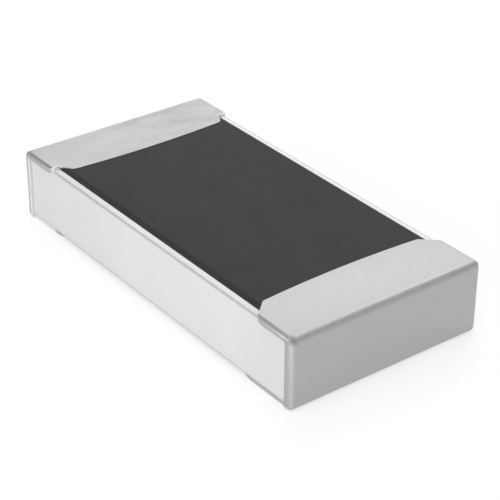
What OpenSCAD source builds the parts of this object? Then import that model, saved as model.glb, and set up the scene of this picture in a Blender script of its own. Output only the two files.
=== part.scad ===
// Thick-film chip resistor in the 3.2 x 1.6 mm case.
// An alumina block carries a printed, laser-trimmed resistor under a black coat.
// A termination of printed contacts, nickel and tin wraps each end.
// X runs along the length, Y across the width and Z up, from the middle of the solder faces.

/* [Chip] */
// Length over both plated ends
chip_l = 3.2; // [2.6:0.05:4]
// Width over the plated bands of the long sides
chip_w = 1.6; // [1.2:0.05:2.4]
// Height from the solder faces to the top of the plating
chip_h = 0.55; // [0.4:0.01:0.8]

/* [Ceramic] */
// Radius of the edges where the ends meet the top and the bottom
end_edge_r = 0.028; // [0.01:0.002:0.06]
// Radius of the four upright edges
upright_edge_r = 0.015; // [0.005:0.005:0.05]
// Radius of the long edges
long_edge_r = 0.01; // [0.004:0.002:0.03]
// Ceramic left bare on top, from each long side to the coat
bare_strip_w = 0.055; // [0.03:0.005:0.12]

/* [Contacts] */
// Thickness of the printed contact on top
top_electrode_t = 0.008; // [0.004:0.001:0.015]
// Thickness of the printed contact on the bottom
bottom_electrode_t = 0.006; // [0.004:0.001:0.015]
// Thickness of the end cap that joins the two
edge_electrode_t = 0.004; // [0.003:0.001:0.01]
// Length of the cap's lips over the printed contacts
cap_lip_l = 0.15; // [0.08:0.01:0.25]
// How far the cap reaches along the long sides, past the rounded end edges
cap_reach_l = 0.002; // [0.001:0.001:0.04]
// How far the top contact stands out past each side of the film
tongue_margin = 0.05; // [0.04:0.005:0.06]

/* [Plating] */
// Thickness of the nickel barrier
nickel_t = 0.007; // [0.003:0.001:0.012]
// Thickness of the tin over it
tin_t = 0.011; // [0.005:0.001:0.018]
// Length of the plating on top, at the middle of the width
top_wrap_l = 0.486; // [0.4:0.002:0.6]
// Length of the plating on the bottom
bottom_wrap_l = 0.56; // [0.4:0.01:0.7]
// Length of the plating along the top of the long sides
side_wrap_l = 0.38; // [0.3:0.005:0.4]
// Length over which that plating swells to its full thickness
nose_l = 0.12; // [0.04:0.01:0.15]
// Radius at the upper corners of the bare window on each long side
window_corner_r = 0.022; // [0.01:0.002:0.04]
// How far the bottom prints stop short of the flat's long edges
bottom_print_margin = 0.01; // [0.005:0.005:0.06]
// Length of the swept inner corners of the bottom plating
bottom_corner_l = 0.19; // [0.1:0.01:0.3]
// Width of those corners
bottom_corner_w = 0.1; // [0.05:0.01:0.3]
// How far the bottom prints sit off the middle, along the length
bottom_print_shift = -0.045; // [-0.06:0.005:0.06]

/* [Resistor film] */
// Thickness of the film
film_t = 0.006; // [0.003:0.001:0.01]
// How far the film laps over each top contact
film_lap_l = 0.1; // [0.05:0.01:0.15]
// Distance from the coat's long edges to the film
film_margin = 0.12; // [0.11:0.005:0.2]
// Width of the laser trim cut
trim_cut_w = 0.04; // [0.02:0.005:0.08]
// Place of the trim cut along the length
trim_x = -0.3; // [-0.5:0.05:0.2]
// Depth of the trim cut into the film
trim_plunge_l = 0.45; // [0.2:0.05:0.7]
// Run of the trim cut along the film
trim_run_l = 0.5; // [0.1:0.05:0.6]

/* [Glass and coat] */
// Thickness of the glass over the film
glass_t = 0.004; // [0.003:0.001:0.008]
// How far the glass reaches past the film on all sides
glass_margin = 0.03; // [0.015:0.005:0.04]
// Thickness of the coat over the glass on the contacts
overcoat_t = 0.004; // [0.002:0.001:0.008]
// Length of the coat's seat on each contact, past the glass
overcoat_seat_l = 0.06; // [0.03:0.005:0.1]
// Run of the sloping long edges of the coat
overcoat_slope_w = 0.035; // [0.015:0.005:0.06]
// Radius of the coat's bowed ends
end_bow_r = 9; // [3:0.5:20]
// Length of the ears at the coat's corners
ear_l = 0.092; // [0.08:0.002:0.16]
// Width of the ears at their root
ear_w = 0.062; // [0.05:0.002:0.09]
// Radius in the root of the ears
ear_root_r = 0.05; // [0.02:0.005:0.07]
// How far the top prints sit off the middle, along the length
top_print_shift = -0.025; // [-0.05:0.005:0.05]

/* [Hidden] */

$fn = 48;

// The two ends, by the sign of X
left = -1;
right = 1;

// Thickness built up on the sides, the top and the bottom of the ceramic, after each layer
electrode_stack = [edge_electrode_t, top_electrode_t, bottom_electrode_t];
nickel_stack = electrode_stack + nickel_t * [1, 1, 1];
tin_stack = nickel_stack + tin_t * [1, 1, 1];

// Ceramic block
ceramic_l = chip_l - 2 * tin_stack[0];
ceramic_w = chip_w - 2 * tin_stack[0];
ceramic_top = chip_h - tin_stack[1];
ceramic_bottom = tin_stack[2];

// How far each layer stops short of the tin's outline on bare ceramic
tin_back = 0;
nickel_back = tin_t;
electrode_back = tin_t + nickel_t;

// Half the width of the flat that the top contacts are printed on, and of the bottom contacts
print_half_w = ceramic_w / 2 - long_edge_r;
bottom_print_half_w = print_half_w - bottom_print_margin;

// Printed layers on top
contact_top = ceramic_top + top_electrode_t;
overcoat_top = contact_top + film_t + glass_t + overcoat_t;
overcoat_w = ceramic_w - 2 * bare_strip_w;
film_w = overcoat_w - 2 * film_margin;
glass_w = film_w + 2 * glass_margin;
tongue_w = film_w + 2 * tongue_margin;
contact_lap_l = overcoat_seat_l + glass_margin + film_lap_l;

// Room that cutting shapes take past the faces they cut
past = 0.1;
zone_half_w = chip_w / 2 + past;
zone_end = chip_l / 2 + past;

// Share of its growth that a band is rounded by, where it starts on a long side
nose_share = 0.8;

// Steps of each rounded corner, and of each bowed edge and swept corner
corner_steps = 6;
bow_steps = 16;

// Places on one end, measured from the middle of the chip towards that end
function top_wrap_x(side) = chip_l / 2 - top_wrap_l + side * top_print_shift;
function bottom_wrap_x(side, back) = chip_l / 2 - bottom_wrap_l + side * bottom_print_shift + back;
function side_wrap_x(back) = chip_l / 2 - side_wrap_l + back;
function ear_tip_x(side) = top_wrap_x(side) + ear_l;
function tongue_x(side) = top_wrap_x(side) - contact_lap_l;
function rim_x(back) = ceramic_l / 2 - end_edge_r - cap_reach_l - electrode_back + back;

// How far a layer grows past the contacts, and how far its bands so reach down over the long edges
function growth(back) = electrode_back - back;
function band_low_z(back) = ceramic_top - growth(back);

// On top the contacts stop at the flat's edge, and the plating grows over it
function is_contact(back) = back == electrode_back;
function top_half_w(back) = is_contact(back) ? print_half_w : zone_half_w;

function unit(v) = v / norm(v);
function turned(v, angle) = [v.x * cos(angle) - v.y * sin(angle), v.x * sin(angle) + v.y * cos(angle)];
function mirrored(points) = [for (i = [len(points) - 1 : -1 : 0]) [points[i].x, -points[i].y]];

// Arc that rounds corner b of the outline a, b, c
function corner_arc(a, b, c, r) =
    let (
        to_a = unit(a - b),
        to_c = unit(c - b),
        half = acos(to_a * to_c) / 2,
        centre = b + unit(to_a + to_c) * r / sin(half),
        start = b + to_a * r / tan(half) - centre,
        turn = cross(to_a, to_c) > 0 ? 2 * half - 180 : 180 - 2 * half
    )
    [for (i = [0 : corner_steps]) centre + turned(start, turn * i / corner_steps)];

// Bowed inner edge of the top plating, bulging towards the middle of the chip
function bow_x(side, y) = top_wrap_x(side) + end_bow_r - sqrt(end_bow_r * end_bow_r - y * y);

// Start of a layer on a long side seen from above: a quarter ellipse, from the flat's edge out past the side
function nose(back) =
    let (swell = chip_w / 2 - back + growth(back) / 8 - print_half_w)
    [for (i = [corner_steps : -1 : 1])
        let (t = 90 * i / corner_steps)
        [side_wrap_x(back) + nose_l * (1 - cos(t)), print_half_w + swell * sin(t)]];

// Outline of the top plating seen from above: bowed edge, eased corners, slant along the ears, long side
function top_plan(side, back) =
    let (
        root_y = overcoat_w / 2 - ear_w,
        bow_y = root_y - ear_root_r,
        bow = [for (i = [0 : bow_steps]) let (y = bow_y * (1 - 2 * i / bow_steps)) [bow_x(side, y), y]],
        root = [bow_x(side, root_y), root_y],
        half_w = top_half_w(back),
        ear_tip = [ear_tip_x(side), overcoat_w / 2],
        long_side = is_contact(back) ? [] : concat([[side_wrap_x(back) + nose_l, half_w]], nose(back)),
        band_start = [side_wrap_x(back), print_half_w],
        ear_root = corner_arc(ear_tip, root, bow[0], ear_root_r),
        half = concat([[zone_end, half_w]], long_side, [band_start, ear_tip], ear_root)
    )
    concat(half, bow, mirrored(half));

// Outline of the bottom plating seen from above: straight edge with swept corners, each a quarter ellipse
function bottom_plan(side, back) =
    let (
        half_w = bottom_print_half_w + growth(back),
        sweep = [bottom_corner_l - back, bottom_corner_w - back],
        centre = [bottom_wrap_x(side, back) + sweep.x, half_w - sweep.y],
        swept = [for (i = [0 : bow_steps])
            let (t = 90 * i / bow_steps)
            centre + [-sweep.x * sin(t), sweep.y * cos(t)]],
        half = concat([[zone_end, half_w]], swept)
    )
    concat(half, mirrored(half));

// Puts a shape made for the right end onto either end
module on_end(side) {
    if (side == right)
        children();
    else
        mirror([1, 0, 0]) children();
}

// Rectangle with true round corners
module rounded_rect(x, y, r) {
    square([x - 2 * r, y], center = true);
    square([x, y - 2 * r], center = true);
    for (i = [-1, 1], j = [-1, 1])
        translate([i * (x / 2 - r), j * (y / 2 - r)]) circle(r);
}

// The ceramic with everything built up on it as far as the given stack, all round
module block(stack) {
    l = ceramic_l + 2 * stack[0];
    w = ceramic_w + 2 * stack[0];
    z0 = ceramic_bottom - stack[2];
    z1 = ceramic_top + stack[1];
    translate([0, 0, (z0 + z1) / 2])
        intersection() {
            rotate([90, 0, 0])
                linear_extrude(w, center = true) rounded_rect(l, z1 - z0, end_edge_r + stack[0]);
            linear_extrude(z1 - z0, center = true) rounded_rect(l, w, upright_edge_r + stack[0]);
            rotate([90, 0, 90])
                linear_extrude(l, center = true) rounded_rect(w, z1 - z0, long_edge_r + stack[0]);
        }
}

module bare_block() {
    block([0, 0, 0]);
}

// Room of a layer on top of one end, and of what grows down over its long edges
module top_zone(side, back) {
    low_z = is_contact(back) ? chip_h / 2 : band_low_z(back);
    on_end(side)
        translate([0, 0, low_z])
            linear_extrude(chip_h + past - low_z) polygon(top_plan(side, back));
}

// What is rounded off the top bands where they start on the long sides
module band_noses(side, back) {
    r = nose_share * growth(back);
    on_end(side)
        for (y = [-zone_half_w, print_half_w])
            translate([side_wrap_x(back), y + zone_half_w - print_half_w, band_low_z(back)])
                rotate([90, 0, 0])
                    linear_extrude(zone_half_w - print_half_w)
                        difference() {
                            translate([-past, -past]) square(past + r);
                            translate([r, r]) circle(r);
                        }
}

// The eased corners between the top bands and the rim, on both long sides
module window_corners(side, back) {
    r = window_corner_r + back;
    on_end(side)
        translate([rim_x(back) - r, 0, band_low_z(back) - r])
            rotate([90, 0, 0])
                linear_extrude(2 * zone_half_w, center = true)
                    difference() {
                        square(r + past);
                        circle(r);
                    }
}

// Room of a layer under one end
module bottom_zone(side, back) {
    on_end(side)
        translate([0, 0, -past])
            linear_extrude(chip_h / 2 + past) polygon(bottom_plan(side, back));
}

// Room past a line across one end
module end_zone(side, from_x, half_w, z0, z1) {
    on_end(side)
        translate([from_x, -half_w, z0])
            cube([zone_end - from_x, 2 * half_w, z1 - z0]);
}

// Room of a whole termination: top, bottom and end
module wrap_zone(side, back) {
    difference() {
        top_zone(side, back);
        if (!is_contact(back))
            band_noses(side, back);
    }
    bottom_zone(side, back);
    end_zone(side, rim_x(back), zone_half_w, -past, chip_h + past);
    if (!is_contact(back))
        window_corners(side, back);
}

// Room of an end cap: the rim and the lips, which lap half the thickness of the printed contacts
module cap_zone(side) {
    lip_x = ceramic_l / 2 - cap_lip_l;
    end_zone(side, rim_x(electrode_back), zone_half_w, -past, chip_h + past);
    end_zone(side, lip_x, print_half_w, ceramic_top + top_electrode_t / 2, chip_h + past);
    end_zone(side, lip_x, bottom_print_half_w, -past, ceramic_bottom - bottom_electrode_t / 2);
}

// One layer of a termination: as much of a block as lies in the termination's room
module wrapped(stack, side, back) {
    intersection() {
        block(stack);
        wrap_zone(side, back);
    }
}

// Flat end of a top contact that runs in under the coat. As a cutter it reaches below the ceramic's top.
module tongue(side, below = 0) {
    on_end(side)
        translate([tongue_x(side), -tongue_w / 2, ceramic_top - below])
            cube([ear_tip_x(side) - tongue_x(side), tongue_w, top_electrode_t + below]);
}

// A print over the ceramic and both tongues, filled down to the ceramic, with a ramp at each step up
module draped(t, lap_l, w, below) {
    base_z = ceramic_top - below;
    ends = [for (side = [left, right]) side * (tongue_x(side) + lap_l)];
    steps = [for (side = [left, right]) side * tongue_x(side)];
    rotate([90, 0, 0])
        linear_extrude(w, center = true)
            polygon([
                [ends[0], base_z],
                [ends[1], base_z],
                [ends[1], contact_top + t],
                [steps[1], contact_top + t],
                [steps[1] - top_electrode_t, ceramic_top + t],
                [steps[0] + top_electrode_t, ceramic_top + t],
                [steps[0], contact_top + t],
                [ends[0], contact_top + t]
            ]);
}

// L-shaped path of the laser through the glass and the film, in from one long edge
module trim_cut() {
    start_y = glass_w / 2 + past;
    end_y = film_w / 2 - trim_plunge_l;
    translate([trim_x, 0, ceramic_top - 2 * past])
        linear_extrude(overcoat_top - ceramic_top + 2 * past) {
            translate([0, end_y]) square([trim_cut_w, start_y - end_y]);
            translate([0, end_y]) square([trim_run_l, trim_cut_w]);
        }
}

// What has to stay clear of the film and the glass: both tongues and the laser's path
module tongues_and_cut() {
    tongue(left, past);
    tongue(right, past);
    trim_cut();
}

// The film, and the film with the glass over it, before they are trimmed
module untrimmed_film(below = 0) {
    draped(film_t, film_lap_l, film_w, below);
}

module untrimmed_glaze(below = 0) {
    draped(film_t + glass_t, film_lap_l + glass_margin, glass_w, below);
}

// Sub-parts

module ceramic_substrate() {
    color([0.93, 0.93, 0.92]) bare_block();
}

module top_electrode(side) {
    color([0.80, 0.80, 0.77]) {
        difference() {
            intersection() {
                block(electrode_stack);
                top_zone(side, electrode_back);
            }
            bare_block();
            cap_zone(side);
        }
        tongue(side);
    }
}

module bottom_electrode(side) {
    color([0.80, 0.80, 0.77])
        difference() {
            intersection() {
                block(electrode_stack);
                bottom_zone(side, electrode_back);
            }
            bare_block();
            cap_zone(side);
        }
}

module edge_electrode(side) {
    color([0.70, 0.71, 0.70])
        difference() {
            intersection() {
                block(electrode_stack);
                cap_zone(side);
            }
            bare_block();
        }
}

module resistive_film() {
    color([0.16, 0.15, 0.17])
        difference() {
            untrimmed_film();
            tongues_and_cut();
        }
}

module glass_passivation() {
    color([0.42, 0.50, 0.44])
        difference() {
            untrimmed_glaze();
            untrimmed_film(past);
            tongues_and_cut();
        }
}

module protective_overcoat() {
    section = [
        [-overcoat_w / 2, ceramic_top],
        [overcoat_w / 2, ceramic_top],
        [overcoat_w / 2 - overcoat_slope_w, overcoat_top],
        [overcoat_slope_w - overcoat_w / 2, overcoat_top]
    ];
    color([0.28, 0.28, 0.28])
        difference() {
            rotate([90, 0, 90])
                linear_extrude(chip_l, center = true) polygon(section);
            top_zone(left, tin_back);
            top_zone(right, tin_back);
            tongue(left, past);
            tongue(right, past);
            difference() {
                untrimmed_glaze(past);
                trim_cut();
            }
        }
}

module nickel_barrier(side) {
    color([0.72, 0.69, 0.62])
        difference() {
            wrapped(nickel_stack, side, nickel_back);
            wrapped(electrode_stack, side, electrode_back);
            bare_block();
        }
}

module tin_plating(side) {
    color([0.83, 0.84, 0.84])
        difference() {
            wrapped(tin_stack, side, tin_back);
            wrapped(nickel_stack, side, nickel_back);
            bare_block();
        }
}

ceramic_substrate();
bottom_electrode(left);  // bottom_electrode_left
bottom_electrode(right);  // bottom_electrode_right
top_electrode(left);  // top_electrode_left
top_electrode(right);  // top_electrode_right
resistive_film();
glass_passivation();
protective_overcoat();
edge_electrode(left);  // edge_electrode_left
edge_electrode(right);  // edge_electrode_right
nickel_barrier(left);  // nickel_barrier_left
nickel_barrier(right);  // nickel_barrier_right
tin_plating(left);  // tin_plating_left
tin_plating(right);  // tin_plating_right
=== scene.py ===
"""Looks of a thick-film chip resistor: fired ceramic, black coat and tin terminations, in a white studio."""

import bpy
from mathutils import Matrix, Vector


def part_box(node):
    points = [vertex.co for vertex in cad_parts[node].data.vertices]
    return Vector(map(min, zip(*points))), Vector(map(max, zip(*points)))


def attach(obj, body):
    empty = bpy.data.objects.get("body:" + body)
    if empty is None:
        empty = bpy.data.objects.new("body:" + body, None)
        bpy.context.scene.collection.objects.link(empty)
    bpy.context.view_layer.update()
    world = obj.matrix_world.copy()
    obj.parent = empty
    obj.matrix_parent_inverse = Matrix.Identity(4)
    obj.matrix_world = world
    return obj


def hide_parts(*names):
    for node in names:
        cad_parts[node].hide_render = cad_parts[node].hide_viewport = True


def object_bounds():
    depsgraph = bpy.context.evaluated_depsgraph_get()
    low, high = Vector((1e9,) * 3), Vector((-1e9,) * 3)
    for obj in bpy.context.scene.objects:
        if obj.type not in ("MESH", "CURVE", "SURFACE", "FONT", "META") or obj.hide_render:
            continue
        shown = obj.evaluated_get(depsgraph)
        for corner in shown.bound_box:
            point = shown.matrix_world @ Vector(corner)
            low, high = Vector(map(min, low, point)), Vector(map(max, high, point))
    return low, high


bl_info = {
    "name": "Chip Resistor Finish",
    "version": (1, 0, 0),
    "blender": (4, 5, 0),
    "location": "3D View > Sidebar > Chip Resistor",
    "description": "Models the visible layers of a chip resistor over its frame, in a white studio",
    "category": "Object",
}

import math

import bmesh
import bpy
from bpy.props import FloatProperty, FloatVectorProperty, IntProperty, PointerProperty
from mathutils import Matrix, Vector

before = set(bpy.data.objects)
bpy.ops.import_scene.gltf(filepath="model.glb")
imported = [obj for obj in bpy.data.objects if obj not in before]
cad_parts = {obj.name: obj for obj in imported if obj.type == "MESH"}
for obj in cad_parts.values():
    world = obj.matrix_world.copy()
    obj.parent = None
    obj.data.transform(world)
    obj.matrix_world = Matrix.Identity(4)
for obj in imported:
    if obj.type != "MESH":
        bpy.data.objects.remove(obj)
CAD_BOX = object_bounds()

# Pieces are modelled at one unit to the millimetre and brought down to metres when they are done
MM = 0.001
LEFT, RIGHT = -1, 1
END_NAMES = {LEFT: "left", RIGHT: "right"}
PHOTO_SIDE = 500
SENSOR_WIDTH = 36.0
SOFTBOX_DISTANCE = 24 * MM
FLOOR_SIDES = 96
COVE_STEPS = 8
COVE_ANGLE = math.radians(80)

# Limits for picking points and edges, in millimetres and radians
CLOSE = 1e-4
MERGE = 1e-5
SMOOTH_ANGLE = math.radians(35)
LIP_ANGLE = math.radians(40)
COAT_LIP_ANGLE = math.radians(60)
LIP_STEPS = 4
COAT_LIP_STEPS = 3


def length(name, description, default_mm):
    """A length property, given in millimetres and kept in metres."""
    return FloatProperty(name=name, description=description, default=default_mm * MM, unit="LENGTH",
                         precision=6)


def angle(name, description, degrees):
    """An angle property, given in degrees."""
    return FloatProperty(name=name, description=description, default=math.radians(degrees), subtype="ANGLE")


def number(name, description, default):
    """A plain number property."""
    return FloatProperty(name=name, description=description, default=default)


def colour(name, description, default):
    """A colour property."""
    return FloatVectorProperty(name=name, description=description, default=default, subtype="COLOR",
                               min=0, max=1)


class ChipSizes(bpy.types.PropertyGroup):
    """Sizes of the visible layers that the frame's boxes don't give."""

    end_edge_radius: length("End edge radius", "Rounding of the ceramic's ends, top and bottom", 0.028)
    upright_edge_radius: length("Upright edge radius", "Rounding of the ceramic's four upright edges", 0.015)
    long_edge_radius: length("Long edge radius", "Rounding of the ceramic's long edges", 0.01)
    plating_thickness: length("Plating thickness", "Nickel and tin together", 0.018)
    tin_thickness: length("Tin thickness", "Tin over the nickel", 0.011)
    rim_width: length("Rim width", "Plating round the upright edges, seen on the long sides", 0.07)
    side_wrap: length("Side wrap", "Plating along the top of the long sides", 0.38)
    nose_length: length("Nose length", "Length over which that plating swells to its full thickness", 0.12)
    window_corner_radius: length("Window corner radius", "Rounding where a band meets the rim", 0.022)
    nose_share: number("Nose share", "Share of its growth that a band's start is rounded by", 0.8)
    top_wrap: length("Top wrap", "Plating on top, at the middle of the width", 0.504)
    ear_width: length("Ear width", "Ears of the coat, at their root", 0.062)
    ear_root_radius: length("Ear root radius", "Rounding in the root of the ears", 0.05)
    bow_radius: length("Bow radius", "Bow of the coat's ends", 8.0)
    bottom_print_margin: length("Bottom print margin", "From the flat's edges to the bottom prints", 0.01)
    bottom_corner_length: length("Bottom corner length", "Swept inner corners of the bottom plating", 0.19)
    bottom_corner_width: length("Bottom corner width", "Width of those corners", 0.1)
    lip_radius: length("Lip radius", "Soft edge of the plating", 0.012)
    coat_slope: length("Coat slope", "Run of the coat's sloping front edge", 0.035)
    coat_rear_slope: length("Coat rear slope", "Run of the coat's steeper rear edge", 0.013)
    coat_shoulder: length("Coat shoulder", "Softening along the top of that slope", 0.012)
    coat_lip_radius: length("Coat lip radius", "Soft edge of the coat at its ends", 0.004)
    round_steps: IntProperty(name="Rounding steps", description="Faces across each rounded edge", default=8)


class ChipFinish(bpy.types.PropertyGroup):
    """Colours of the layers."""

    alumina: colour("Alumina", "Fired ceramic", (0.82, 0.82, 0.815))
    # Also painted shade: mixed in towards the ceramic's ends, more at the left
    alumina_cloud_and_shade: colour("Alumina cloud", "Denser patches of the ceramic, and painted shade towards its ends", (0.75, 0.75, 0.745))
    # Lighter alumina, laid on the top of the rear strip
    alumina_rear_strip: colour("Rear strip alumina", "Ceramic of the rear strip", (0.96, 0.96, 0.955))
    alumina_edge: colour("Alumina edge", "Glassy line along the snapped edges", (0.38, 0.38, 0.38))
    coat: colour("Coat", "Black epoxy coat", (0.018, 0.018, 0.018))
    coat_speck: colour("Coat speck", "Filler grains in the coat", (0.045, 0.045, 0.045))
    tin: colour("Tin", "Matt tin plating", (0.445, 0.449, 0.453))
    # Also painted shade: darkens the top to the rear of the left end, and the lips beside the ceramic
    tin_smudge_and_shade: colour("Tin smudge", "Handled patches of the tin, and painted shade", (0.33, 0.33, 0.33))
    # Painted shade: a dark line along the top end edges
    tin_edge_shade: colour("Tin dark edge", "Painted shade along the tin's top end edges", (0.35, 0.35, 0.36))
    # Painted highlight: lighter tin along the edges
    tin_edge_highlight: colour("Tin bright edge", "Painted highlight along the tin's edges", (0.58, 0.58, 0.585))
    # Painted shade on the top's front corners
    tin_corner_shade: colour("Tin corner", "Painted shade on the tin's front corners", (0.36, 0.36, 0.365))
    # Painted light: the left rim made white and matt
    tin_painted_light: colour("Tin with painted light", "Painted light on the left rim: white, matt tin", (0.80, 0.80, 0.795))
    nickel: colour("Nickel", "Nickel barrier", (0.55, 0.52, 0.46))
    silver: colour("Silver print", "Fired silver contacts", (0.66, 0.66, 0.63))
    film: colour("Resistor film", "Fired resistor print", (0.02, 0.02, 0.022))
    glass: colour("Cover glass", "Glass over the film", (0.30, 0.36, 0.31))


class StudioSettings(bpy.types.PropertyGroup):
    """Camera and light."""

    yaw: angle("Yaw", "Camera's turn round the chip", 52.537)
    pitch: angle("Pitch", "Camera's height above the horizon", 30.358)
    roll: angle("Roll", "Camera's roll", 0.49)
    distance: length("Distance", "Camera to the chip", 12.18)
    slide_right: length("Slide right", "Camera's step to its right", 0.0764)
    slide_up: length("Slide up", "Camera's step up", 0.1428)
    focal_pixels: number("Focal length", "In pixels of the square picture", 1696.1)
    floor_radius: length("Floor radius", "Flat part of the floor", 70.0)
    cove_radius: length("Cove radius", "Sweep from the floor up to the wall", 30.0)
    floor_colour: colour("Floor", "Paper of the floor and wall", (0.48, 0.48, 0.48))
    floor_glow: number("Floor glow", "Light added to the paper where it is seen", 0.57)
    sky_colour: colour("Sky", "Light from above the wall", (0.97, 0.985, 1.0))
    sky_strength: number("Sky strength", "Brightness of that light", 0.48)
    back_light: number("Back light", "Softbox that the top plating mirrors", 1.37)
    front_light: number("Front light", "Softbox before the long side", 2.8)
    side_light: number("Side light", "Softbox that the end edges mirror", 0.42)
    top_light: number("Top light", "Softbox above the chip", 2.0)


def mm(value):
    """A length or a place in metres, as millimetres."""
    return value / MM


def box_mm(node):
    """Lowest and highest corner of a node of the frame, in millimetres."""
    low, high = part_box(node)
    return mm(low), mm(high)


# Modelling

def select_only(piece):
    """Selects one object and makes it the active one."""
    bpy.ops.object.select_all(action="DESELECT")
    piece.select_set(True)
    bpy.context.view_layer.objects.active = piece


def new_box(name, low, high):
    """A box between two corners."""
    bpy.ops.object.select_all(action="DESELECT")
    bpy.ops.mesh.primitive_cube_add(size=1, location=(low + high) / 2)
    box = bpy.context.object
    box.name = name
    box.scale = high - low
    bpy.ops.object.transform_apply(location=True, rotation=True, scale=True)
    return box


def new_prism(name, outline, z0, z1):
    """An upright prism, drawn point by point round its outline and pulled up."""
    bpy.ops.object.select_all(action="DESELECT")
    bpy.ops.mesh.primitive_plane_add(size=1)
    prism = bpy.context.object
    prism.name = name
    bpy.ops.object.mode_set(mode="EDIT")
    bpy.ops.mesh.select_mode(type="VERT")
    bpy.ops.mesh.select_all(action="SELECT")
    bpy.ops.mesh.merge(type="CENTER")
    bpy.ops.transform.translate(value=(outline[0].x, outline[0].y, z0))
    for start, end in zip(outline, outline[1:] + outline[:1]):
        step = end - start
        bpy.ops.mesh.extrude_region_move(TRANSFORM_OT_translate={"value": (step.x, step.y, 0)})
    bpy.ops.mesh.select_all(action="SELECT")
    bpy.ops.mesh.remove_doubles(threshold=MERGE / 10)
    bpy.ops.mesh.edge_face_add()
    bpy.ops.mesh.extrude_region_move(TRANSFORM_OT_translate={"value": (0, 0, z1 - z0)})
    bpy.ops.mesh.select_all(action="SELECT")
    bpy.ops.mesh.normals_make_consistent(inside=False)
    bpy.ops.object.mode_set(mode="OBJECT")
    return prism


def apply_modifier(piece, modifier):
    """Applies one modifier."""
    select_only(piece)
    bpy.ops.object.modifier_apply(modifier=modifier.name)


def combine(piece, tool, operation):
    """Joins, cuts or trims a piece with a tool, which is used up."""
    boolean = piece.modifiers.new("Combine", "BOOLEAN")
    boolean.operation = operation
    boolean.solver = "EXACT"
    boolean.object = tool
    apply_modifier(piece, boolean)
    bpy.data.objects.remove(tool)


def round_edges(piece, radii, steps):
    """Rounds a box's edges, each by the radius of the axis that it runs along."""
    widest = max(radii)
    weights = piece.data.attributes.new("bevel_weight_edge", "FLOAT", "EDGE")
    for edge in piece.data.edges:
        start, end = (piece.data.vertices[i].co for i in edge.vertices)
        along = max(range(3), key=lambda axis: abs(end[axis] - start[axis]))
        weights.data[edge.index].value = radii[along] / widest
    bevel = piece.modifiers.new("Round", "BEVEL")
    bevel.limit_method = "WEIGHT"
    bevel.width = widest
    bevel.segments = steps
    apply_modifier(piece, bevel)
    weights = piece.data.attributes.get("bevel_weight_edge")
    if weights:
        piece.data.attributes.remove(weights)


def soften(piece, wanted, radius, steps):
    """Rounds the edges that a test picks out."""
    select_only(piece)
    bpy.ops.object.mode_set(mode="EDIT")
    bpy.ops.mesh.select_mode(type="EDGE")
    bpy.ops.mesh.select_all(action="DESELECT")
    shape = bmesh.from_edit_mesh(piece.data)
    picked = [edge for edge in shape.edges if wanted(edge)]
    for edge in picked:
        edge.select_set(True)
    bmesh.update_edit_mesh(piece.data)
    if not picked:
        raise RuntimeError("no edge of %s to soften" % piece.name)
    bpy.ops.mesh.bevel(offset=radius, offset_type="OFFSET", segments=steps, affect="EDGES",
                       clamp_overlap=True)
    bpy.ops.object.mode_set(mode="OBJECT")


def move_points(piece, wanted, step):
    """Moves the points that a test picks out by their place."""
    select_only(piece)
    bpy.ops.object.mode_set(mode="EDIT")
    bpy.ops.mesh.select_mode(type="VERT")
    bpy.ops.mesh.select_all(action="DESELECT")
    shape = bmesh.from_edit_mesh(piece.data)
    picked = [point for point in shape.verts if wanted(point.co)]
    for point in picked:
        point.select_set(True)
    bmesh.update_edit_mesh(piece.data)
    if not picked:
        raise RuntimeError("no point of %s to move" % piece.name)
    bpy.ops.transform.translate(value=step)
    bpy.ops.object.mode_set(mode="OBJECT")


def copy_of_node(node):
    """A copy of a node of the frame in millimetres, with its loose triangles merged."""
    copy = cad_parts[node].copy()
    copy.data = copy.data.copy()
    copy.parent = None
    bpy.context.scene.collection.objects.link(copy)
    select_only(copy)
    copy.scale = (1 / MM, 1 / MM, 1 / MM)
    bpy.ops.object.transform_apply(location=True, rotation=True, scale=True)
    bpy.ops.object.mode_set(mode="EDIT")
    bpy.ops.mesh.select_all(action="SELECT")
    bpy.ops.mesh.remove_doubles(threshold=MERGE)
    bpy.ops.object.mode_set(mode="OBJECT")
    return copy


def hand_over(piece, name, material, node):
    """Brings a finished piece down to metres, smooths it, and puts it in the place of a node."""
    select_only(piece)
    piece.name = name
    piece.data.name = name
    piece.scale = (MM, MM, MM)
    bpy.ops.object.transform_apply(location=True, rotation=True, scale=True)
    bpy.ops.object.shade_smooth_by_angle(angle=SMOOTH_ANGLE)
    normals = piece.modifiers.new("Normals", "WEIGHTED_NORMAL")
    normals.keep_sharp = True
    apply_modifier(piece, normals)
    piece.data.materials.clear()
    piece.data.materials.append(material)
    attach(piece, "root")
    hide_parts(node)


# Outlines of the plating, in millimetres

def corner_arc(before, corner, after, radius, steps=8):
    """Points of the arc that rounds one corner of an outline."""
    to_before = (before - corner).normalized()
    to_after = (after - corner).normalized()
    half = to_before.angle(to_after) / 2
    centre = corner + (to_before + to_after).normalized() * radius / math.sin(half)
    start = corner + to_before * radius / math.tan(half) - centre
    end = corner + to_after * radius / math.tan(half) - centre
    turn = start.angle_signed(end)
    return [centre + Matrix.Rotation(-turn * i / steps, 2) @ start for i in range(steps + 1)]


def mirrored(points):
    """The same points on the other side of the length, in the opposite order."""
    return [Vector((point.x, -point.y)) for point in reversed(points)]


def on_end(side, points):
    """Points drawn for the right end, moved to either end."""
    return [Vector((side * point.x, point.y)) for point in points]


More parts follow.
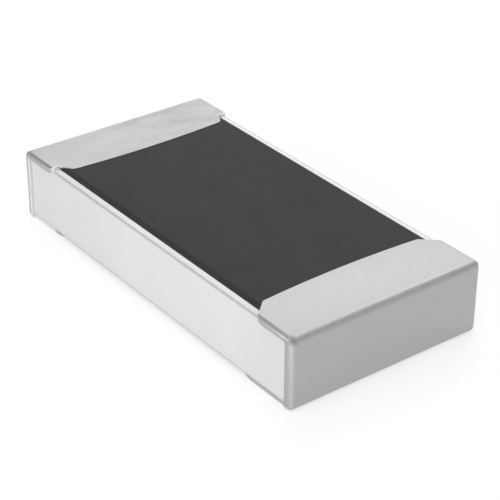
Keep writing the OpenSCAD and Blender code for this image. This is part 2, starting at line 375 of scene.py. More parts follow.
class Termination:
    """Places on one end, in millimetres from the chip's middle, for the tin or for the nickel under it."""

    past = 0.1
    bow_steps = 32
    nose_steps = 12

    def __init__(self, sizes, side, back):
        self.sizes = sizes
        self.side = side
        self.back = back
        chip_low, chip_high = (mm(corner) for corner in CAD_BOX)
        self.ceramic_low, self.ceramic_high = box_mm("ceramic_substrate")
        coat_low, coat_high = box_mm("protective_overcoat")
        tin_low, tin_high = box_mm("tin_plating_" + END_NAMES[side])
        self.low = chip_low + Vector((back, back, back))
        self.high = chip_high - Vector((back, back, back))
        self.chip_top = chip_high.z
        self.half_w = chip_high.y + self.past
        self.end = chip_high.x + self.past
        self.flat_half_w = self.ceramic_high.y - mm(sizes.long_edge_radius)
        self.ear_tip = Vector((coat_high.x if side == RIGHT else -coat_low.x, coat_high.y))
        self.apex = chip_high.x - mm(sizes.top_wrap)
        self.side_wrap = chip_high.x - mm(sizes.side_wrap) + back
        self.rim = chip_high.x - mm(sizes.rim_width) + back
        self.bottom_wrap = (tin_low.x if side == RIGHT else -tin_high.x) + back
        self.growth = mm(sizes.plating_thickness) - back
        self.band_low = self.ceramic_high.z - self.growth
        self.window_radius = mm(sizes.window_corner_radius) + back

    def bow(self, y):
        """The bowed inner edge of the top plating, at one place across the width."""
        radius = mm(self.sizes.bow_radius)
        return Vector((self.apex + radius - math.sqrt(radius * radius - y * y), y))

    def nose(self):
        """Start of the plating on a long side: a quarter ellipse, from the flat's edge out past the side."""
        run = mm(self.sizes.nose_length)
        swell = self.high.y + self.growth / 8 - self.flat_half_w
        turns = [math.pi / 2 * (1 - i / self.nose_steps) for i in range(self.nose_steps + 1)]
        return [Vector((self.side_wrap + run * (1 - math.cos(t)), self.flat_half_w + swell * math.sin(t)))
                for t in turns]

    def top_plan(self):
        """Outline of the plating on top."""
        sizes = self.sizes
        root_y = self.ear_tip.y - mm(sizes.ear_width)
        bow_y = root_y - mm(sizes.ear_root_radius)
        bow = [self.bow(bow_y * (1 - 2 * i / self.bow_steps)) for i in range(self.bow_steps + 1)]
        root = corner_arc(self.ear_tip, self.bow(root_y), bow[0], mm(sizes.ear_root_radius))
        half = [
            Vector((self.end, self.half_w)),
            Vector((self.side_wrap + mm(sizes.nose_length), self.half_w)),
            *self.nose(),
            self.ear_tip,
            *root,
        ]
        return on_end(self.side, half + bow + mirrored(half))

    def bottom_plan(self):
        """Outline of the plating on the bottom."""
        half_w = self.flat_half_w - mm(self.sizes.bottom_print_margin) + self.growth
        sweep_l = mm(self.sizes.bottom_corner_length) - self.back
        sweep_w = mm(self.sizes.bottom_corner_width) - self.back
        turns = [math.pi / 2 * i / self.bow_steps for i in range(self.bow_steps + 1)]
        swept = [Vector((self.bottom_wrap + sweep_l * (1 - math.sin(t)),
                         half_w - sweep_w * (1 - math.cos(t)))) for t in turns]
        half = [Vector((self.end, half_w)), *swept]
        return on_end(self.side, half + mirrored(half))

    def end_plan(self):
        """Outline of the plating over the end."""
        half = [Vector((self.end, self.half_w)), Vector((self.rim, self.half_w))]
        return on_end(self.side, half + mirrored(half))

    def top_room(self):
        """Room of the plating on top, with what grows down over the long edges."""
        return new_prism("top room", self.top_plan(), self.band_low, self.chip_top + self.past)

    def nose_tool(self, y0, y1):
        """What is rounded off the plating where it starts on a long side."""
        corner = Vector((self.side_wrap, self.band_low))
        radius = self.sizes.nose_share * self.growth
        arc = corner_arc(corner + Vector((1, 0)), corner, corner + Vector((0, 1)), radius)
        before = [corner + Vector(step) for step in ((-self.past, radius), (-self.past, -self.past),
                                                     (radius, -self.past))]
        tool = new_prism("nose tool", on_end(self.side, before + arc), -y1, -y0)
        tool.rotation_euler.x = math.pi / 2
        bpy.ops.object.transform_apply(location=True, rotation=True, scale=True)
        return tool

    def room(self):
        """Room of the whole plating of this end, with eased corners where its top bands meet the rim."""
        room = self.top_room()
        for y0, y1 in ((-self.half_w, -self.flat_half_w), (self.flat_half_w, self.half_w)):
            combine(room, self.nose_tool(y0, y1), "DIFFERENCE")
        combine(room, new_prism("bottom room", self.bottom_plan(), -self.past, self.chip_top / 2), "UNION")
        combine(room, new_prism("end room", self.end_plan(), -self.past, self.chip_top + self.past), "UNION")
        soften(room, self.is_window_corner, self.window_radius, self.sizes.round_steps)
        return room

    def is_window_corner(self, edge):
        """Whether an edge of the room lies across the chip, where a top band meets the rim."""
        return all(abs(v.co.x - self.side * self.rim) < CLOSE and abs(v.co.z - self.band_low) < CLOSE
                   for v in edge.verts)

    def layer(self, name, edge_growth):
        """The solid under this layer's skin, as far in as its room goes."""
        sizes = self.sizes
        block = new_box(name, self.low, self.high)
        round_edges(block, [mm(r) + edge_growth for r in bare_radii(sizes)], sizes.round_steps)
        combine(block, self.room(), "INTERSECT")
        return block

    def is_lip(self, edge):
        """Whether an edge of the layer is its outer boundary, clear of the ceramic."""
        clear = mm(self.sizes.tin_thickness) / 2
        low = [corner - clear for corner in self.ceramic_low]
        high = [corner + clear for corner in self.ceramic_high]
        outside = all(any(v.co[a] < low[a] or v.co[a] > high[a] for a in range(3)) for v in edge.verts)
        return outside and len(edge.link_faces) == 2 and edge.calc_face_angle() > LIP_ANGLE


def bare_radii(sizes):
    """Radii of the ceramic's edges along X, Y and Z, in metres."""
    return sizes.long_edge_radius, sizes.end_edge_radius, sizes.upright_edge_radius


# Shader building

def add(tree, kind, inputs=None, **settings):
    """Adds a shader node, with its settings, and with each input set to a value or linked to a socket."""
    node = tree.nodes.new(kind)
    for key, value in settings.items():
        setattr(node, key, value)
    for key, value in (inputs or {}).items():
        if isinstance(value, bpy.types.NodeSocket):
            tree.links.new(value, node.inputs[key])
        else:
            node.inputs[key].default_value = value
    return node


def math_node(tree, operation, *values, clamp=False):
    """A Math node's output, from sockets and numbers."""
    node = add(tree, "ShaderNodeMath", dict(enumerate(values)), operation=operation, use_clamp=clamp)
    return node.outputs[0]


def times(tree, first, *others):
    """The product of masks and numbers."""
    for other in others:
        first = math_node(tree, "MULTIPLY", first, other)
    return first


def object_place(tree):
    """A point's place in the chip's frame, as three sockets."""
    place = add(tree, "ShaderNodeTexCoord").outputs["Object"]
    return add(tree, "ShaderNodeSeparateXYZ", {0: place}).outputs


def mix_colour(tree, factor, first, second):
    """A mix of two colours, by a socket or a number."""
    node = add(tree, "ShaderNodeMix", data_type="RGBA")
    for index, value in {0: factor, 6: first, 7: second}.items():
        if isinstance(value, bpy.types.NodeSocket):
            tree.links.new(value, node.inputs[index])
        else:
            node.inputs[index].default_value = value if index == 0 else (*value, 1)
    return node.outputs[2]


def remap(tree, value, low, high, out_low=0.0, out_high=1.0):
    """A value taken from one range to another, kept within it."""
    inputs = {"Value": value, "From Min": low, "From Max": high, "To Min": out_low, "To Max": out_high}
    return add(tree, "ShaderNodeMapRange", inputs, clamp=True).outputs[0]


def line(tree, value, place, width):
    """1 where a value is at a place, 0 a given width away from it."""
    away = math_node(tree, "ABSOLUTE", math_node(tree, "SUBTRACT", value, place))
    return math_node(tree, "MULTIPLY_ADD", away, -1 / width, 1.0, clamp=True)


def new_group(name, inputs, outputs):
    """An empty shader node group with its sockets, and its input and output nodes."""
    tree = bpy.data.node_groups.new(name, "ShaderNodeTree")
    for socket, kind, default in inputs:
        made = tree.interface.new_socket(socket, in_out="INPUT", socket_type=kind)
        made.default_value = default
    for socket in outputs:
        tree.interface.new_socket(socket, in_out="OUTPUT", socket_type="NodeSocketFloat")
    return tree, tree.nodes.new("NodeGroupInput"), tree.nodes.new("NodeGroupOutput")


def grain_group():
    """Fine grain of a fired or plated surface: a shade about the middle, and a height for bump."""
    inputs = [("Grains per metre", "NodeSocketFloat", 60000.0), ("Contrast", "NodeSocketFloat", 1.0)]
    tree, given, result = new_group("Surface grain", inputs, ["Shade", "Height"])
    place = add(tree, "ShaderNodeTexCoord").outputs["Object"]
    fine = add(tree, "ShaderNodeTexNoise", {"Vector": place, "Scale": given.outputs[0], "Detail": 3.0,
                                            "Roughness": 0.6})
    wide_scale = times(tree, given.outputs[0], 0.22)
    wide = add(tree, "ShaderNodeTexNoise", {"Vector": place, "Scale": wide_scale, "Detail": 2.0})
    both = math_node(tree, "MULTIPLY_ADD", wide.outputs[0], 0.35, times(tree, fine.outputs[0], 0.65))
    centred = math_node(tree, "SUBTRACT", both, 0.5)
    shade = math_node(tree, "MULTIPLY_ADD", centred, given.outputs[1], 0.5, clamp=True)
    tree.links.new(shade, result.inputs["Shade"])
    tree.links.new(both, result.inputs["Height"])
    return tree


def cloud_group():
    """Soft patches over a surface, drawn out along the chip's width."""
    inputs = [("Patches per metre", "NodeSocketFloat", 3000.0), ("Stretch", "NodeSocketFloat", 1.0),
              ("Cover", "NodeSocketFloat", 0.5), ("Softness", "NodeSocketFloat", 0.2)]
    tree, given, result = new_group("Soft patches", inputs, ["Mask"])
    place = add(tree, "ShaderNodeTexCoord").outputs["Object"]
    scale = add(tree, "ShaderNodeCombineXYZ", {"X": given.outputs[1], "Y": 1.0, "Z": given.outputs[1]})
    stretched = add(tree, "ShaderNodeMapping", {"Vector": place, "Scale": scale.outputs[0]})
    noise = add(tree, "ShaderNodeTexNoise", {"Vector": stretched.outputs[0], "Scale": given.outputs[0],
                                             "Detail": 4.0, "Roughness": 0.55, "Distortion": 0.4})
    low = math_node(tree, "SUBTRACT", given.outputs[2], given.outputs[3])
    high = math_node(tree, "ADD", given.outputs[2], given.outputs[3])
    tree.links.new(remap(tree, noise.outputs[0], low, high), result.inputs["Mask"])
    return tree


def edge_group():
    """Broken line along the edges of a box, and spots on its corners: 1 there, 0 a given width away."""
    inputs = [("Centre", "NodeSocketVector", (0, 0, 0)), ("Half size", "NodeSocketVector", (1, 1, 1)),
              ("Width", "NodeSocketFloat", 2e-5), ("Breaks per metre", "NodeSocketFloat", 20000.0),
              ("Break depth", "NodeSocketFloat", 0.5)]
    tree, given, result = new_group("Edge line", inputs, ["Edge", "Corner"])
    place = add(tree, "ShaderNodeTexCoord").outputs["Object"]
    vector = "ShaderNodeVectorMath"
    offset = add(tree, vector, {0: place, 1: given.outputs[0]}, operation="SUBTRACT").outputs[0]
    reach = add(tree, vector, {0: offset}, operation="ABSOLUTE").outputs[0]
    inward = add(tree, vector, {0: given.outputs[1], 1: reach}, operation="SUBTRACT").outputs[0]
    x, y, z = add(tree, "ShaderNodeSeparateXYZ", {0: inward}).outputs
    # Of the distances to the three pairs of faces, the middle one leads to an edge, the largest to a corner
    lower = math_node(tree, "MINIMUM", x, y)
    upper = math_node(tree, "MAXIMUM", x, y)
    to_edge = math_node(tree, "MAXIMUM", lower, math_node(tree, "MINIMUM", upper, z))
    to_corner = math_node(tree, "MAXIMUM", upper, z)
    noise = add(tree, "ShaderNodeTexNoise", {"Vector": place, "Scale": given.outputs[3], "Detail": 3.0})
    wander = times(tree, math_node(tree, "SUBTRACT", noise.outputs[0], 0.5), given.outputs[4])
    width = times(tree, given.outputs[2], math_node(tree, "ADD", wander, 1.0))
    for name, away in {"Edge": to_edge, "Corner": to_corner}.items():
        mask = math_node(tree, "SUBTRACT", 1.0, math_node(tree, "DIVIDE", away, width), clamp=True)
        tree.links.new(mask, result.inputs[name])
    return tree


SHARED_GROUPS = {"Surface grain": grain_group, "Soft patches": cloud_group, "Edge line": edge_group}


def use_group(tree, name, **values):
    """Places a shared group in a material, making the group the first time. Underscores stand for spaces."""
    group = bpy.data.node_groups.get(name) or SHARED_GROUPS[name]()
    inputs = {key.replace("_", " "): value for key, value in values.items()}
    return add(tree, "ShaderNodeGroup", inputs, node_tree=group)


def new_material(name):
    """A material with an empty tree, and its Principled shader."""
    material = bpy.data.materials.new(name)
    material.use_nodes = True
    tree = material.node_tree
    tree.nodes.clear()
    shader = tree.nodes.new("ShaderNodeBsdfPrincipled")
    output = tree.nodes.new("ShaderNodeOutputMaterial")
    tree.links.new(shader.outputs[0], output.inputs["Surface"])
    return material, tree, shader


def bump(tree, shader, height, depth, strength):
    """Links a height to the shader's normal, with its depth in metres."""
    node = add(tree, "ShaderNodeBump", {"Height": height, "Distance": depth, "Strength": strength})
    tree.links.new(node.outputs[0], shader.inputs["Normal"])


def node_box_sockets(node):
    """Centre and half size of a node's box, for the edge group."""
    low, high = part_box(node)
    return tuple((low + high) / 2), tuple((high - low) / 2)


def alumina_material(finish):
    """Fired alumina: white, matt, with faint patches and painted shade towards its ends, lighter on the top
    of the rear strip, and with a glassy grey line along its snapped edges.
    """
    material, tree, shader = new_material("alumina")
    centre, half = node_box_sockets("ceramic_substrate")
    grain = use_group(tree, "Surface grain", Grains_per_metre=70000.0, Contrast=1.2)
    patches = use_group(tree, "Soft patches", Patches_per_metre=3200.0, Stretch=0.6, Cover=0.5, Softness=0.2)
    edge = use_group(tree, "Edge line", Centre=centre, Half_size=half, Width=2.0e-5, Breaks_per_metre=24000.0,
                     Break_depth=1.0)
    x, y, z = object_place(tree)
    # Painted shade: the ceramic is darkened towards its ends, more at the left
    painted_end_shade = math_node(tree, "ADD", remap(tree, x, -0.1 * half[0], -0.6 * half[0], 0.0, 0.7),
                        remap(tree, x, 0.6 * half[0], 0.85 * half[0], 0.0, 0.6))
    clouds_and_end_shade = math_node(tree, "MULTIPLY_ADD", patches.outputs["Mask"], 0.4, painted_end_shade, clamp=True)
    clouded_and_end_shaded = mix_colour(tree, clouds_and_end_shade, finish.alumina, finish.alumina_cloud_and_shade)
    shade = remap(tree, grain.outputs["Shade"], 0.2, 0.8, 0.0, 0.25)
    grainy = mix_colour(tree, shade, clouded_and_end_shaded, finish.alumina_cloud_and_shade)
    # Lighter alumina on the top of the rear strip
    to_rear = remap(tree, y, 0.85 * half[1], 0.9 * half[1])
    to_top = remap(tree, z, centre[2] + 0.9 * half[2], centre[2] + 0.97 * half[2])
    rear_strip_lightened = mix_colour(tree, times(tree, to_rear, to_top, 0.95), grainy, finish.alumina_rear_strip)
    lined = mix_colour(tree, edge.outputs["Edge"], rear_strip_lightened, finish.alumina_edge)
    tree.links.new(lined, shader.inputs["Base Color"])
    tree.links.new(remap(tree, grain.outputs["Shade"], 0.2, 0.8, 0.5, 0.7), shader.inputs["Roughness"])
    shader.inputs["Specular IOR Level"].default_value = 0.35
    bump(tree, shader, grain.outputs["Height"], 1.5e-6, 0.5)
    return material


def coat_material(finish):
    """Black epoxy coat: dull, with fine filler grains."""
    material, tree, shader = new_material("overcoat")
    grain = use_group(tree, "Surface grain", Grains_per_metre=55000.0, Contrast=1.6)
    patches = use_group(tree, "Soft patches", Patches_per_metre=2500.0, Stretch=1.0, Cover=0.5, Softness=0.3)
    place = add(tree, "ShaderNodeTexCoord").outputs["Object"]
    cells = add(tree, "ShaderNodeTexVoronoi", {"Vector": place, "Scale": 16000.0, "Randomness": 1.0})
    specks = remap(tree, cells.outputs["Distance"], 0.10, 0.22, 1.0, 0.0)
    shade = remap(tree, grain.outputs["Shade"], 0.25, 0.85, 0.0, 0.45)
    grainy = mix_colour(tree, shade, finish.coat, finish.coat_speck)
    lit = mix_colour(tree, times(tree, specks, 0.32), grainy, finish.coat_speck)
    tree.links.new(lit, shader.inputs["Base Color"])
    dull = remap(tree, grain.outputs["Shade"], 0.2, 0.8, 0.58, 0.72)
    rough = math_node(tree, "MULTIPLY_ADD", patches.outputs["Mask"], 0.06, dull)
    tree.links.new(rough, shader.inputs["Roughness"])
    shader.inputs["Specular IOR Level"].default_value = 0.3
    bump(tree, shader, grain.outputs["Height"], 1.5e-6, 0.5)
    return material


class TinPlaces:
    """Where a point of the plating lies, as masks from 0 to 1, bounded by shares of the chip's box."""

    halves = (0.4, 0.6)
    right_top = (0.84, 0.93)
    left_top = (0.93, 0.98)
    long_side = (0.965, 0.97)
    end_bend = 0.9765
    right_rim_lip = 0.959
    band_lip = 0.926
    clear_of_rim = (0.957, 0.955)
    below_bands = (0.92, 0.91)
    left_rim_inner = (0.66, 0.67)
    left_rim_outer = (0.972, 0.968)
    band_start_inner = (0.70, 0.74)
    band_start_outer = (0.775, 0.768)
    band_start_side = (0.885, 0.9)
    band_start_height = (0.8, 0.85)

    def __init__(self, tree):
        self.tree = tree
        self.low, self.high = CAD_BOX
        self.box = {"Centre": tuple((self.low + self.high) / 2),
                    "Half_size": tuple((self.high - self.low) / 2)}
        self.x, self.y, self.z = object_place(tree)
        self.out = math_node(tree, "ABSOLUTE", self.x)
        self.across = math_node(tree, "ABSOLUTE", self.y)
        self.to_left = remap(tree, self.x, self.high.x, self.low.x)
        top_bounds = [self.by_end(right * self.high.z, left * self.high.z)
                      for right, left in zip(self.right_top, self.left_top)]
        self.on_top = remap(tree, self.z, *top_bounds)
        self.below_top = math_node(tree, "SUBTRACT", 1.0, self.on_top)
        self.on_long_side = self.between(self.across, self.high.y, self.long_side)
        self.off_long_side = math_node(tree, "SUBTRACT", 1.0, self.on_long_side)

    def by_end(self, right, left):
        """One value on the right end, and another on the left."""
        return remap(self.tree, self.to_left, *self.halves, right, left)

    def between(self, value, reach, shares):
        """0 up to one share of a reach, and 1 from another."""
        return remap(self.tree, value, shares[0] * reach, shares[1] * reach)


def smudged_and_shaded_tin(tree, finish, places, grain):
    """Plain plating: grainy, with handled patches and painted shade that darkens the top, most of them to the
    rear of the left end.
    """
    patches = use_group(tree, "Soft patches", Patches_per_metre=3800.0, Stretch=2.2, Cover=0.54,
                        Softness=0.14)
    patch_share = remap(tree, patches.outputs["Mask"], 0.0, 1.0, 0.3, 1.0)
    left_share = remap(tree, places.to_left, 0.0, 1.0, 0.04, 0.9)
    rear_share = remap(tree, places.y, places.low.y, 0.3 * places.high.y, 0.1, 1.0)
    top_share = remap(tree, places.on_top, 0.0, 1.0, 0.15, 1.0)
    # Handled patches and painted shade: darker tin towards the rear of the left end's top
    smudges_and_shade = times(tree, patch_share, left_share, rear_share, top_share)
    smudged_and_shaded = mix_colour(tree, smudges_and_shade, finish.tin, finish.tin_smudge_and_shade)
    shade = remap(tree, grain.outputs["Shade"], 0.25, 0.8, 0.0, 0.12)
    return mix_colour(tree, shade, smudged_and_shaded, finish.tin_smudge_and_shade)


def edge_highlights_and_shade(tree, finish, places, plain):
    """Plating with painted highlights along its edges, and a painted dark line of shade where the top bends
    down over each end.
    """
    highlight_edges = use_group(tree, "Edge line", **places.box, Width=3.2e-5, Breaks_per_metre=9000.0,
                       Break_depth=0.6)
    thin = use_group(tree, "Edge line", **places.box, Width=2.4e-5, Breaks_per_metre=16000.0,
                     Break_depth=1.2)
    # Painted highlights: lighter tin along the upright and bottom edges, the long top edges and a line near
    # each end
    below = times(tree, highlight_edges.outputs["Edge"], places.below_top)
    bands = times(tree, thin.outputs["Edge"], places.on_long_side, places.by_end(0.4, 0.6))
    ends = times(tree, line(tree, places.out, places.end_bend * places.high.x, 1.5e-5), places.off_long_side)
    above = times(tree, math_node(tree, "MAXIMUM", bands, ends), places.on_top)
    bright = mix_colour(tree, math_node(tree, "MAXIMUM", below, above), plain, finish.tin_edge_highlight)
    # Painted shade: a dark line where the top bends down over each end
    bend = times(tree, thin.outputs["Edge"], 1.8, places.on_top, places.off_long_side)
    return mix_colour(tree, math_node(tree, "MINIMUM", bend, 1.0), bright, finish.tin_edge_shade)


def corner_shade_mask(tree, places):
    """Mask of painted shade on the top's front corners."""
    corner = use_group(tree, "Edge line", **places.box, Width=6e-5, Breaks_per_metre=16000.0,
                       Break_depth=0.2)
    to_front = remap(tree, places.y, 0.0, places.low.y, 0.0, 1.5)
    spots = times(tree, corner.outputs["Corner"], places.on_top, to_front)
    return math_node(tree, "MINIMUM", spots, 1.0)


def lip_shade_mask(tree, places):
    """Mask of painted shade along the lips of the right rim and of the bands, beside the ceramic."""
    rim = line(tree, places.x, places.right_rim_lip * places.high.x, 9e-6)
    band = times(tree, line(tree, places.z, places.band_lip * places.high.z, 7e-6),
                 places.between(places.out, places.high.x, places.clear_of_rim))
    return times(tree, math_node(tree, "MAXIMUM", rim, band), places.on_long_side, 0.7)


def rim_light_mask(tree, places):
    """Mask of painted light on the left rim, and where the left bands start on the ceramic, where the tin is
    made white and matt.
    """
    rim = times(tree, places.between(places.x, places.low.x, places.left_rim_inner),
                places.between(places.x, places.low.x, places.left_rim_outer),
                places.between(places.z, places.high.z, places.below_bands), places.on_long_side)
    start = times(tree, places.between(places.x, places.low.x, places.band_start_outer),
                  places.between(places.x, places.low.x, places.band_start_inner),
                  places.between(places.across, places.high.y, places.band_start_side),
                  places.between(places.z, places.high.z, places.band_start_height))
    return math_node(tree, "MAXIMUM", rim, start)


def tin_material(finish):
    """Matt tin plating: satin metal, with handled patches most on its left end, painted highlights and shade
    along its edges, corners and lips, and painted light on the left rim.
    """
    material, tree, shader = new_material("matt tin")
    places = TinPlaces(tree)
    grain = use_group(tree, "Surface grain", Grains_per_metre=90000.0, Contrast=1.2)
    edged = edge_highlights_and_shade(tree, finish, places, smudged_and_shaded_tin(tree, finish, places, grain))
    # Painted shade on the front corners, which are also made rougher
    corners = corner_shade_mask(tree, places)
    corner_shaded = mix_colour(tree, corners, edged, finish.tin_corner_shade)
    # Painted shade along the lips beside the ceramic
    lip_shaded = mix_colour(tree, lip_shade_mask(tree, places), corner_shaded, finish.tin_smudge_and_shade)
    # Painted light on the left rim: white and hardly metallic there
    rim_light = rim_light_mask(tree, places)
    tree.links.new(mix_colour(tree, rim_light, lip_shaded, finish.tin_painted_light), shader.inputs["Base Color"])
    tree.links.new(remap(tree, rim_light, 0.0, 1.0, 1.0, 0.15), shader.inputs["Metallic"])
    satin = remap(tree, grain.outputs["Shade"], 0.2, 0.8, 0.40, 0.48)
    tree.links.new(math_node(tree, "MULTIPLY_ADD", corners, 0.4, satin), shader.inputs["Roughness"])
    bump(tree, shader, grain.outputs["Height"], 1.0e-6, 0.3)
    return material


def inner_material(name, base, darker, metallic, rough_low, rough_high, grains):
    """A fired or plated layer under the surface: grain in its colour, its roughness and its relief."""
    material, tree, shader = new_material(name)
    grain = use_group(tree, "Surface grain", Grains_per_metre=grains, Contrast=1.8)
    patches = use_group(tree, "Soft patches", Patches_per_metre=4000.0, Stretch=1.3, Cover=0.55, Softness=0.2)
    dark = tuple(channel * darker for channel in base)
    mottled = mix_colour(tree, times(tree, patches.outputs["Mask"], 0.5), tuple(base), dark)
    shade = remap(tree, grain.outputs["Shade"], 0.2, 0.8, 0.0, 0.5)
    tree.links.new(mix_colour(tree, shade, mottled, dark), shader.inputs["Base Color"])
    rough = remap(tree, grain.outputs["Shade"], 0.2, 0.8, rough_low, rough_high)
    tree.links.new(rough, shader.inputs["Roughness"])
    shader.inputs["Metallic"].default_value = metallic
    bump(tree, shader, grain.outputs["Height"], 1.5e-6, 0.5)
    return material


# Operators

class CHIP_OT_ceramic(bpy.types.Operator):
    """Models the alumina block"""

    bl_idname = "chip.ceramic"
    bl_label = "Ceramic block"

    def execute(self, context):
        sizes = context.scene.chip_sizes
        block = new_box("ceramic", *box_mm("ceramic_substrate"))
        round_edges(block, [mm(radius) for radius in bare_radii(sizes)], sizes.round_steps)
        material = alumina_material(context.scene.chip_finish)
        hand_over(block, "ceramic_block", material, "ceramic_substrate")
        return {"FINISHED"}


class CHIP_OT_coat(bpy.types.Operator):
    """Models the black coat over the film"""

    bl_idname = "chip.coat"
    bl_label = "Black coat"

    def execute(self, context):
        sizes = context.scene.chip_sizes
        low, high = box_mm("protective_overcoat")
        chip_low, chip_high = (mm(corner) for corner in CAD_BOX)
        coat = new_box("coat", Vector((chip_low.x, low.y, low.z)), Vector((chip_high.x, high.y, high.z)))
        for y, run in ((low.y, mm(sizes.coat_slope)), (high.y, -mm(sizes.coat_rear_slope))):
            upper = Vector((y, high.z))
            move_points(coat, lambda place: (place.yz - upper).length < CLOSE, (0, run, 0))

        def on_top(edge):
            return all(v.co.z > high.z - CLOSE for v in edge.verts)

        def is_shoulder(edge):
            return on_top(edge) and abs(edge.verts[0].co.x - edge.verts[1].co.x) > 1

        soften(coat, is_shoulder, mm(sizes.coat_shoulder), sizes.round_steps)
        for side in (LEFT, RIGHT):
            combine(coat, Termination(sizes, side, 0).top_room(), "DIFFERENCE")
        soften(coat, lambda edge: on_top(edge) and edge.calc_face_angle() > COAT_LIP_ANGLE,
               mm(sizes.coat_lip_radius), COAT_LIP_STEPS)
        for node in ("top_electrode_left", "top_electrode_right", "resistive_film", "glass_passivation"):
            layer = copy_of_node(node)
            move_points(layer, lambda place: place.z < low.z + CLOSE, (0, 0, -Termination.past))
            combine(coat, layer, "DIFFERENCE")
        material = coat_material(context.scene.chip_finish)
        hand_over(coat, "black_coat", material, "protective_overcoat")
        return {"FINISHED"}


class CHIP_OT_terminations(bpy.types.Operator):
    """Models the tin plating of both ends"""

    bl_idname = "chip.terminations"
    bl_label = "Tin terminations"

    def execute(self, context):
        sizes = context.scene.chip_sizes
        material = tin_material(context.scene.chip_finish)
        tin_growth = mm(sizes.tin_thickness)
        ceramic_low, ceramic_high = box_mm("ceramic_substrate")
        skin = mm(CAD_BOX[1].x) - ceramic_high.x
        for side in (LEFT, RIGHT):
            outer = Termination(sizes, side, 0)
            tin = outer.layer("tin", skin)
            soften(tin, outer.is_lip, mm(sizes.lip_radius), LIP_STEPS)
            inner = Termination(sizes, side, tin_growth)
            combine(tin, inner.layer("nickel", skin - tin_growth), "DIFFERENCE")
            ceramic = new_box("ceramic", ceramic_low, ceramic_high)
            round_edges(ceramic, [mm(radius) for radius in bare_radii(sizes)], sizes.round_steps)
            combine(tin, ceramic, "DIFFERENCE")
            end = END_NAMES[side]
            hand_over(tin, "tin_termination_" + end, material, "tin_plating_" + end)
        return {"FINISHED"}


class CHIP_OT_inner_layers(bpy.types.Operator):
    """Finishes the contacts, the nickel, the film and the glass, which keep their own shapes"""

    bl_idname = "chip.inner_layers"
    bl_label = "Inner layers"

    def execute(self, context):
        finish = context.scene.chip_finish
        nickel = inner_material("nickel", finish.nickel, 0.8, 1.0, 0.35, 0.5, 60000.0)
        silver = inner_material("silver print", finish.silver, 0.85, 1.0, 0.45, 0.65, 45000.0)
        film = inner_material("resistor film", finish.film, 0.6, 0.0, 0.45, 0.6, 50000.0)
        glass = inner_material("cover glass", finish.glass, 0.8, 0.0, 0.08, 0.16, 30000.0)
        layers = {"nickel_barrier": nickel, "top_electrode": silver, "bottom_electrode": silver,
                  "edge_electrode": silver, "resistive_film": film, "glass_passivation": glass}
        for node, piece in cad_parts.items():
            for start, material in layers.items():
                if node.startswith(start):
                    piece.data.materials.clear()
                    piece.data.materials.append(material)
        return {"FINISHED"}


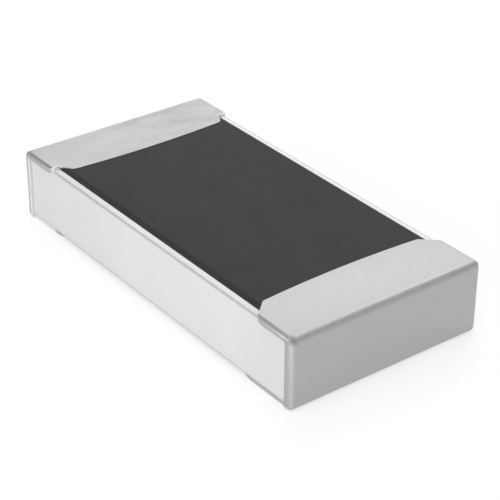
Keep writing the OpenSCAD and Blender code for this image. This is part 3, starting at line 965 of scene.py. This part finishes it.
class CHIP_OT_studio(bpy.types.Operator):
    """Sets the floor, the light and the camera"""

    bl_idname = "chip.studio"
    bl_label = "Studio"

    def execute(self, context):
        studio = context.scene.chip_studio
        self.lay_floor(studio)
        self.light_sky(context, studio)
        self.hang_softbox("back softbox", (-0.63, 0.58, 0.62), (20, 20), studio.back_light)
        self.hang_softbox("front softbox", (0.24, -0.95, 0.26), (36, 13), studio.front_light)
        self.hang_softbox("side softbox", (0.5, 0.52, 0.68), (22, 22), studio.side_light)
        self.hang_softbox("top softbox", (0.05, -0.12, 1.0), (14, 14), studio.top_light)
        self.set_camera(context, studio)
        context.scene.view_settings.view_transform = "Standard"
        return {"FINISHED"}

    def lay_floor(self, studio):
        """A round sheet of paper that sweeps up into a wall on all sides."""
        bpy.ops.object.select_all(action="DESELECT")
        bpy.ops.mesh.primitive_circle_add(vertices=FLOOR_SIDES, radius=studio.floor_radius, fill_type="NGON")
        floor = bpy.context.object
        floor.name = "paper_floor"
        bpy.ops.object.mode_set(mode="EDIT")
        bpy.ops.mesh.select_mode(type="EDGE")
        bpy.ops.mesh.select_all(action="SELECT")
        bpy.ops.mesh.region_to_loop()
        radius, height = studio.floor_radius, 0.0
        for step in range(1, COVE_STEPS + 1):
            rise = COVE_ANGLE * step / COVE_STEPS
            next_radius = studio.floor_radius + studio.cove_radius * math.sin(rise)
            next_height = studio.cove_radius * (1 - math.cos(rise))
            bpy.ops.mesh.extrude_edges_move(TRANSFORM_OT_translate={"value": (0, 0, next_height - height)})
            grow = next_radius / radius
            bpy.ops.transform.resize(value=(grow, grow, 1), center_override=(0, 0, next_height))
            radius, height = next_radius, next_height
        bpy.ops.object.mode_set(mode="OBJECT")
        bpy.ops.object.shade_smooth()
        floor.data.materials.append(self.paper(studio))

    def paper(self, studio):
        """White paper: seen as white by eye and in metal, with the chip's shadow on it."""
        material, tree, shader = new_material("paper")
        shader.inputs["Base Color"].default_value = (*studio.floor_colour, 1)
        shader.inputs["Roughness"].default_value = 0.9
        shader.inputs["Specular IOR Level"].default_value = 0.0
        path = add(tree, "ShaderNodeLightPath").outputs
        mirrored_too = math_node(tree, "MAXIMUM", path["Is Camera Ray"], path["Is Glossy Ray"])
        seen = math_node(tree, "MAXIMUM", mirrored_too, path["Is Transmission Ray"])
        shader.inputs["Emission Color"].default_value = (1, 1, 1, 1)
        tree.links.new(times(tree, seen, studio.floor_glow), shader.inputs["Emission Strength"])
        clear = add(tree, "ShaderNodeBsdfTransparent")
        under = add(tree, "ShaderNodeNewGeometry").outputs["Backfacing"]
        sheet = add(tree, "ShaderNodeMixShader", {0: under, 1: shader.outputs[0], 2: clear.outputs[0]})
        tree.links.new(sheet.outputs[0], tree.nodes["Material Output"].inputs["Surface"])
        return material

    def light_sky(self, context, studio):
        """Even light from above the wall."""
        world = bpy.data.worlds.new("studio")
        world.use_nodes = True
        background = world.node_tree.nodes["Background"]
        background.inputs["Color"].default_value = (*studio.sky_colour, 1)
        background.inputs["Strength"].default_value = studio.sky_strength
        context.scene.world = world

    def hang_softbox(self, name, towards, sides, radiance):
        """A soft light with sides in millimetres, hung in a direction from the chip and facing it."""
        lamp = bpy.data.lights.new(name, "AREA")
        lamp.shape = "RECTANGLE"
        lamp.size, lamp.size_y = (side * MM for side in sides)
        lamp.energy = radiance * math.pi * lamp.size * lamp.size_y
        softbox = bpy.data.objects.new(name, lamp)
        bpy.context.scene.collection.objects.link(softbox)
        towards = Vector(towards).normalized()
        softbox.location = towards * SOFTBOX_DISTANCE
        softbox.rotation_euler = towards.to_track_quat("Z", "Y").to_euler()

    def set_camera(self, context, studio):
        """The camera, at the photograph's angle."""
        back = Vector((math.sin(studio.yaw) * math.cos(studio.pitch),
                       -math.cos(studio.yaw) * math.cos(studio.pitch), math.sin(studio.pitch)))
        level = (-back).cross(Vector((0, 0, 1))).normalized()
        upright = level.cross(-back)
        right = level * math.cos(studio.roll) + upright * math.sin(studio.roll)
        up = upright * math.cos(studio.roll) - level * math.sin(studio.roll)
        lens = bpy.data.cameras.new("camera")
        lens.sensor_width = SENSOR_WIDTH
        lens.lens = studio.focal_pixels * SENSOR_WIDTH / PHOTO_SIDE
        lens.clip_start = studio.distance / 10
        lens.clip_end = studio.distance * 100
        camera = bpy.data.objects.new("camera", lens)
        context.scene.collection.objects.link(camera)
        place = back * studio.distance + right * studio.slide_right + up * studio.slide_up
        turn = Matrix((right, up, back)).transposed().to_4x4()
        camera.matrix_world = Matrix.Translation(place) @ turn
        context.scene.camera = camera


class CHIP_PT_panel(bpy.types.Panel):
    """Lists the pieces of the chip and the studio"""

    bl_label = "Chip Resistor"
    bl_idname = "CHIP_PT_panel"
    bl_space_type = "VIEW_3D"
    bl_region_type = "UI"
    bl_category = "Chip Resistor"

    def draw(self, context):
        for operator in OPERATORS:
            self.layout.operator(operator.bl_idname)
        for group in (context.scene.chip_sizes, context.scene.chip_finish, context.scene.chip_studio):
            box = self.layout.box()
            for name in group.__annotations__:
                box.prop(group, name)


OPERATORS = (CHIP_OT_ceramic, CHIP_OT_coat, CHIP_OT_terminations, CHIP_OT_inner_layers, CHIP_OT_studio)
GROUPS = {"chip_sizes": ChipSizes, "chip_finish": ChipFinish, "chip_studio": StudioSettings}


def register():
    for cls in (*GROUPS.values(), *OPERATORS, CHIP_PT_panel):
        bpy.utils.register_class(cls)
    for name, group in GROUPS.items():
        setattr(bpy.types.Scene, name, PointerProperty(type=group))


def unregister():
    for name in GROUPS:
        delattr(bpy.types.Scene, name)
    for cls in reversed((*GROUPS.values(), *OPERATORS, CHIP_PT_panel)):
        bpy.utils.unregister_class(cls)


def main():
    register()
    bpy.ops.chip.ceramic()
    bpy.ops.chip.coat()
    bpy.ops.chip.terminations()
    bpy.ops.chip.inner_layers()
    bpy.ops.chip.studio()


if __name__ == "__main__":
    main()
